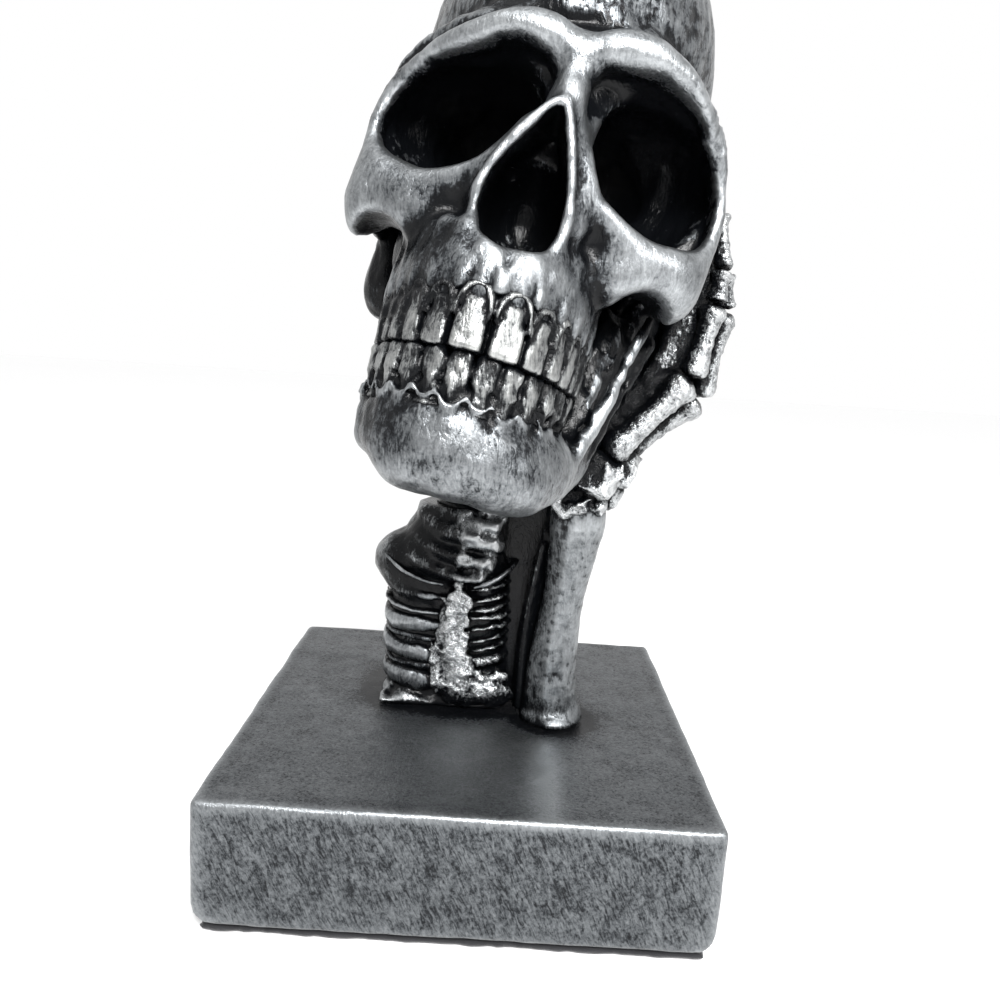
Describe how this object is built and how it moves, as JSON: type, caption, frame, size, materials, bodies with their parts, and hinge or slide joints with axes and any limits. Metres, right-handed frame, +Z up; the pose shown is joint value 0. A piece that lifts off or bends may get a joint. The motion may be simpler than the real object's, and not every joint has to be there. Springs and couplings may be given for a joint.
{
  "type": "skull figurine",
  "caption": "Shelf figurine of black resin rubbed with silver: a skull leans its cheek on its own bony hand, on a ribbed chest, neck and forearm on a square plinth.",
  "frame": {"origin": "centre of the felt pad's underside, where the figurine stands", "axes": "+Z up, -Y the way the face and the front of the plinth look, +X to the figurine's left, where its hand is"},
  "size_m": [0.083, 0.0943, 0.1591],
  "materials": {
    "bone": "black resin rubbed with silver paint",
    "teeth": "black resin rubbed brightly with silver paint",
    "dark": "glossy black resin",
    "plinth": "black resin brushed with silver paint",
    "felt": "black felt",
    "steel": "plain steel rod"
  },
  "bodies": {
    "root": {"felt_pad": "felt", "plinth": "plinth", "chest_core": "dark", "breastbone": "bone", "backbone": "bone", "collarbone_left": "bone", "collarbone_right": "bone", "rib_left_1": "bone", "rib_left_2": "bone", "rib_left_3": "bone", "rib_left_4": "bone", "rib_left_5": "bone", "rib_left_6": "bone", "rib_left_7": "bone", "rib_right_1": "bone", "rib_right_2": "bone", "rib_right_3": "bone", "rib_right_4": "bone", "rib_right_5": "bone", "rib_right_6": "bone", "rib_right_7": "bone", "neck_bone_1": "bone", "neck_bone_2": "bone", "neck_bone_3": "bone", "neck_bone_4": "bone", "neck_bone_5": "bone", "neck_bone_6": "bone", "neck_bone_7": "bone", "neck_pin": "steel", "cranium": "bone", "lower_jaw": "bone", "upper_teeth": "teeth", "lower_teeth": "teeth", "forearm_bone": "bone", "forearm_pin": "steel", "ulna": "dark", "upper_arm": "dark", "wrist_bone_1": "bone", "wrist_bone_2": "bone", "wrist_bone_3": "bone", "wrist_bone_4": "bone", "index_palm_bone": "bone", "index_proximal_bone": "bone", "index_middle_bone": "bone", "index_distal_bone": "bone", "middle_palm_bone": "bone", "middle_proximal_bone": "bone", "middle_middle_bone": "bone", "middle_distal_bone": "bone", "ring_palm_bone": "bone", "ring_proximal_bone": "bone", "ring_middle_bone": "bone", "ring_distal_bone": "bone", "little_palm_bone": "bone", "little_proximal_bone": "bone", "little_middle_bone": "bone", "little_distal_bone": "bone", "palm_web": "dark", "arm_web": "dark"}
  },
  "joints": []
}
